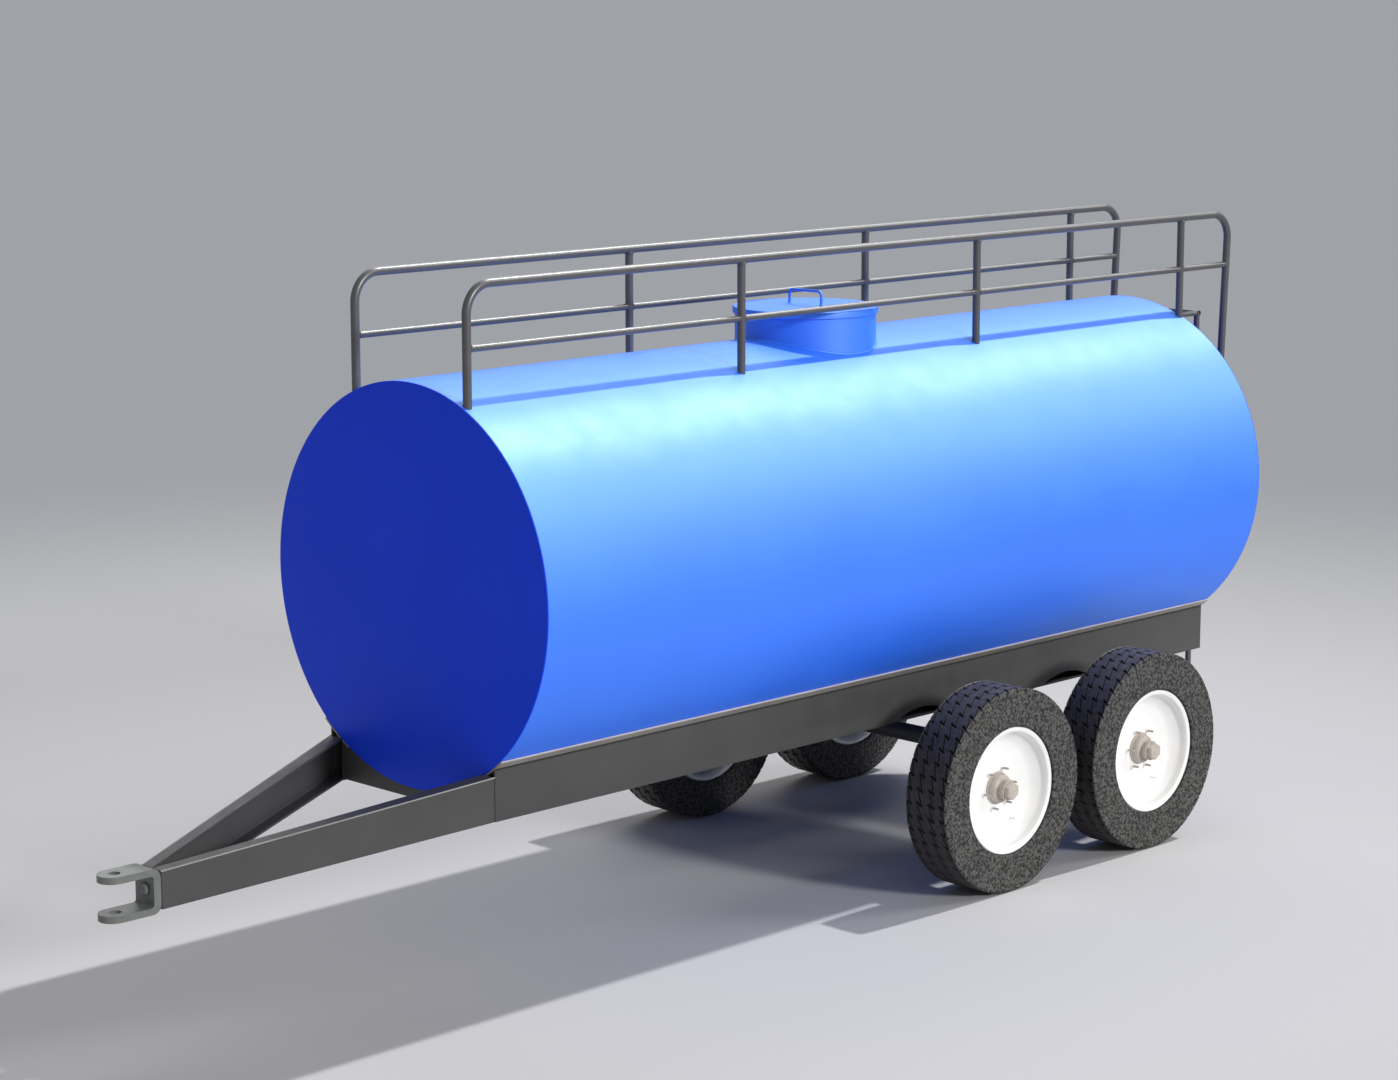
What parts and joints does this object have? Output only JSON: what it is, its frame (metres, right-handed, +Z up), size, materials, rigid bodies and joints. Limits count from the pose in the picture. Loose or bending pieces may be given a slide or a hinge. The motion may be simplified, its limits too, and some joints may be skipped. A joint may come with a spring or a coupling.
{
  "type": "tanker trailer",
  "caption": "Two-axle tanker trailer with a flat-ended cylindrical tank, A-frame drawbar and clevis hitch, top manhole, handrails and rear ladder.",
  "frame": {"origin": "centre of the bounding box on the ground, under the trailer", "axes": "+X forward to the hitch, +Y to the trailer's left, +Z up"},
  "size_m": [7.1158, 2.276, 3.0805],
  "materials": {
    "tank_paint": "gloss blue paint",
    "chassis_paint": "grey paint",
    "clevis_steel": "light grey paint",
    "tyre_rubber": "matt rubber",
    "wheel_paint": "white paint",
    "hub_paint": "beige paint",
    "drum_iron": "dark cast iron",
    "handrail_paint": "dark grey paint"
  },
  "bodies": {
    "chassis": {"tank_shell": "tank_paint", "tank_front_head": "tank_paint", "tank_rear_head": "tank_paint", "manhole_neck": "tank_paint", "rear_outlet": "tank_paint", "outlet_blank_flange": "tank_paint", "left_tank_pad": "chassis_paint", "right_tank_pad": "chassis_paint", "left_main_rail": "chassis_paint", "right_main_rail": "chassis_paint", "front_saddle": "chassis_paint", "forward_saddle": "chassis_paint", "bogie_saddle": "chassis_paint", "rear_saddle": "chassis_paint", "left_drawbar_beam": "chassis_paint", "right_drawbar_beam": "chassis_paint", "drawbar_nose_plate": "chassis_paint", "left_bogie_hanger": "chassis_paint", "right_bogie_hanger": "chassis_paint", "bogie_cross_shaft": "chassis_paint", "left_walking_beam": "chassis_paint", "right_walking_beam": "chassis_paint", "hitch_clevis": "clevis_steel", "hitch_bolt": "clevis_steel", "front_left_stub_axle": "chassis_paint", "front_right_stub_axle": "chassis_paint", "rear_left_stub_axle": "chassis_paint", "rear_right_stub_axle": "chassis_paint", "left_handrail": "handrail_paint", "right_handrail": "handrail_paint", "rear_ladder": "handrail_paint"},
    "front_left_wheel": {"front_left_tyre": "tyre_rubber", "front_left_rim": "wheel_paint", "front_left_hub": "hub_paint", "front_left_brake_drum": "drum_iron"},
    "front_right_wheel": {"front_right_tyre": "tyre_rubber", "front_right_rim": "wheel_paint", "front_right_hub": "hub_paint", "front_right_brake_drum": "drum_iron"},
    "rear_left_wheel": {"rear_left_tyre": "tyre_rubber", "rear_left_rim": "wheel_paint", "rear_left_hub": "hub_paint", "rear_left_brake_drum": "drum_iron"},
    "rear_right_wheel": {"rear_right_tyre": "tyre_rubber", "rear_right_rim": "wheel_paint", "rear_right_hub": "hub_paint", "rear_right_brake_drum": "drum_iron"},
    "manhole_lid": {"manhole_lid": "tank_paint", "lid_handle": "tank_paint"}
  },
  "joints": [
    {"name": "front_left_wheel_spin", "type": "hinge", "parent": "chassis", "child": "front_left_wheel", "pos_m": [-0.86913, 1.01, 0.4981], "axis": [0, 1, 0], "continuous": true},
    {"name": "front_right_wheel_spin", "type": "hinge", "parent": "chassis", "child": "front_right_wheel", "pos_m": [-0.86913, -1.01, 0.4981], "axis": [0, 1, 0], "continuous": true},
    {"name": "rear_left_wheel_spin", "type": "hinge", "parent": "chassis", "child": "rear_left_wheel", "pos_m": [-1.98413, 1.01, 0.4981], "axis": [0, 1, 0], "continuous": true},
    {"name": "rear_right_wheel_spin", "type": "hinge", "parent": "chassis", "child": "rear_right_wheel", "pos_m": [-1.98413, -1.01, 0.4981], "axis": [0, 1, 0], "continuous": true},
    {"name": "manhole_lid_lift", "type": "slide", "parent": "chassis", "child": "manhole_lid", "axis": [0, 0, 1], "range_m": [0, 0.25]}
  ]
}
